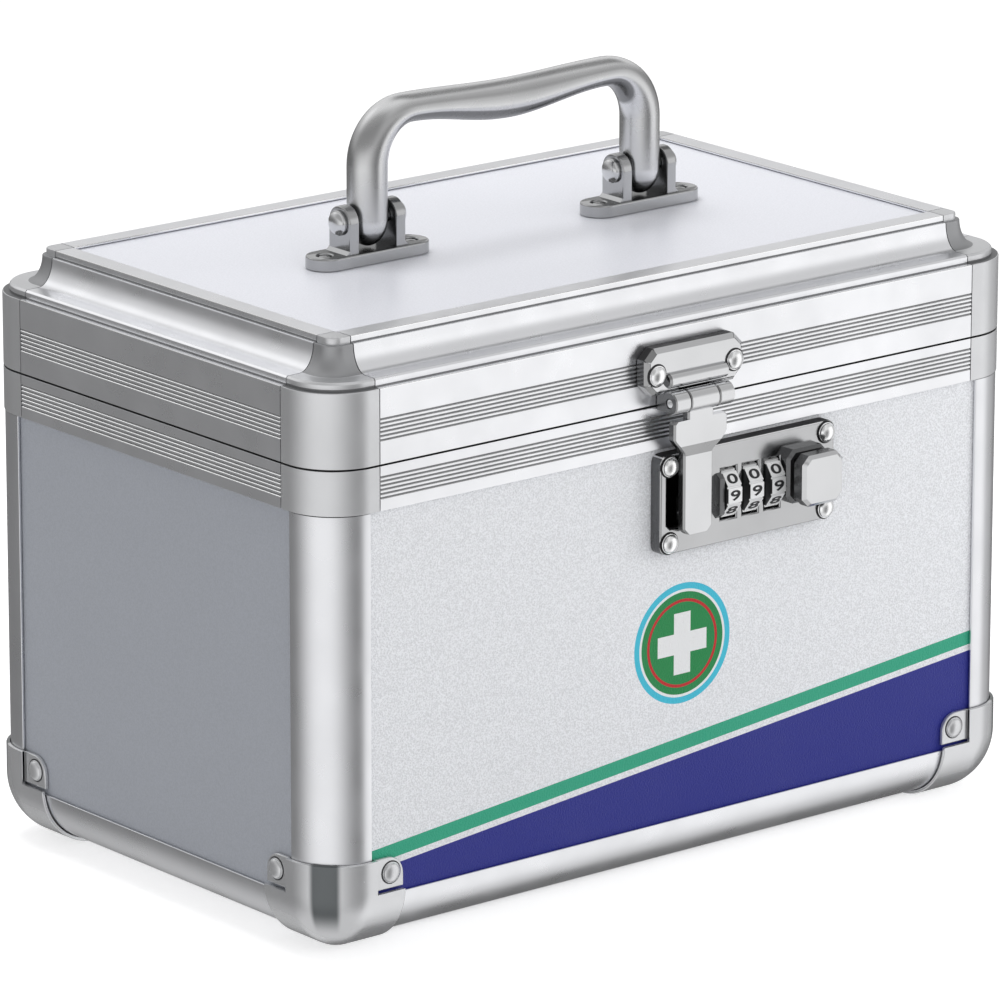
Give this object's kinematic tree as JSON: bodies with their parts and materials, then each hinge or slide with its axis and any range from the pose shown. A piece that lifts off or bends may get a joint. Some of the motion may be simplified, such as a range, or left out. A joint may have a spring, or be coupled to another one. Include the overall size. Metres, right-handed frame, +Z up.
{
  "type": "lockable medication box",
  "caption": "Rectangular board box in an aluminium frame, with a coved hinged lid, swinging handle, hasp lever and combination lock with a push-button release.",
  "frame": {"origin": "on the floor, under the middle of the whole object's box", "axes": "+X along the front towards the right end, +Y from the front panel to the rear hinges, +Z up to the handle"},
  "size_m": [0.2624, 0.1802, 0.2236],
  "materials": {
    "front_board": "silver-white pebble-grain foil on board",
    "side_board": "smooth blue-grey foil on board",
    "lid_board": "smooth pale foil on board",
    "frame_aluminium": "satin anodised extrusion",
    "cast_corner": "satin die casting",
    "chrome": "polished chrome plate",
    "satin_chrome": "satin chrome plate",
    "plated_dial": "bright plated wheel with dark numbers",
    "dark_steel": "blackened pressed steel"
  },
  "bodies": {
    "body": {"front_panel": "front_board", "rear_panel": "front_board", "left_panel": "side_board", "right_panel": "side_board", "bottom_panel": "side_board", "corner_post_front_right": "frame_aluminium", "corner_post_rear_right": "frame_aluminium", "corner_post_rear_left": "frame_aluminium", "corner_post_front_left": "frame_aluminium", "bottom_rail_front": "frame_aluminium", "bottom_rail_right": "frame_aluminium", "bottom_rail_rear": "frame_aluminium", "bottom_rail_left": "frame_aluminium", "body_rim_front": "frame_aluminium", "body_rim_right": "frame_aluminium", "body_rim_rear": "frame_aluminium", "body_rim_left": "frame_aluminium", "body_rim_corner_front_right": "cast_corner", "body_rim_corner_rear_right": "cast_corner", "body_rim_corner_rear_left": "cast_corner", "body_rim_corner_front_left": "cast_corner", "corner_guard_front_right": "chrome", "corner_guard_rear_right": "chrome", "corner_guard_rear_left": "chrome", "corner_guard_front_left": "chrome", "hinge_body_leaf_left": "satin_chrome", "hinge_body_leaf_right": "satin_chrome", "hinge_pin_left": "satin_chrome", "hinge_pin_right": "satin_chrome", "lock_plate": "chrome", "lock_case": "dark_steel", "dial_shaft": "satin_chrome", "button_spring": "satin_chrome"},
    "lid": {"lid_panel": "lid_board", "lid_rim_front": "frame_aluminium", "lid_rim_right": "frame_aluminium", "lid_rim_rear": "frame_aluminium", "lid_rim_left": "frame_aluminium", "lid_corner_front_right": "cast_corner", "lid_corner_rear_right": "cast_corner", "lid_corner_rear_left": "cast_corner", "lid_corner_front_left": "cast_corner", "hinge_lid_leaf_left": "satin_chrome", "hinge_lid_leaf_right": "satin_chrome", "handle_bracket_left": "satin_chrome", "handle_bracket_right": "satin_chrome", "handle_pin_left": "chrome", "handle_pin_right": "chrome", "hasp_plate": "chrome", "hasp_pin": "satin_chrome"},
    "carry_handle": {"handle": "satin_chrome"},
    "lever": {"hasp_lever": "chrome"},
    "left_dial": {"dial_left": "plated_dial"},
    "middle_dial": {"dial_middle": "plated_dial"},
    "right_dial": {"dial_right": "plated_dial"},
    "button": {"release_button": "chrome"},
    "bolt": {"lock_bolt": "satin_chrome"}
  },
  "joints": [
    {"name": "lid_hinge", "type": "hinge", "parent": "body", "child": "lid", "pos_m": [0, 0.08747, 0.1431], "axis": [-1, 0, 0], "range_deg": [0, 105]},
    {"name": "handle_swing", "type": "hinge", "parent": "lid", "child": "carry_handle", "pos_m": [0, 0.00343, 0.1889], "axis": [1, 0, 0], "range_deg": [-90, 90]},
    {"name": "hasp_hinge", "type": "hinge", "parent": "lid", "child": "lever", "pos_m": [0.0002, -0.08332, 0.14495], "axis": [-1, 0, 0], "range_deg": [0, 140]},
    {"name": "left_dial_turn", "type": "hinge", "parent": "body", "child": "left_dial", "pos_m": [0.0146, -0.07523, 0.1135], "axis": [1, 0, 0], "continuous": true},
    {"name": "middle_dial_turn", "type": "hinge", "parent": "body", "child": "middle_dial", "pos_m": [0.0229, -0.07523, 0.1135], "axis": [1, 0, 0], "continuous": true},
    {"name": "right_dial_turn", "type": "hinge", "parent": "body", "child": "right_dial", "pos_m": [0.0312, -0.07523, 0.1135], "axis": [1, 0, 0], "continuous": true},
    {"name": "button_press", "type": "slide", "parent": "body", "child": "button", "axis": [0, 1, 0], "range_m": [0, 0.002], "stiffness_N_per_m": 1500},
    {"name": "bolt_slide", "type": "slide", "parent": "body", "child": "bolt", "axis": [1, 0, 0], "range_m": [0, 0.0024]}
  ],
  "couplings": [
    {"joint": "bolt_slide", "follows": "button_press", "ratio": 1.2}
  ]
}
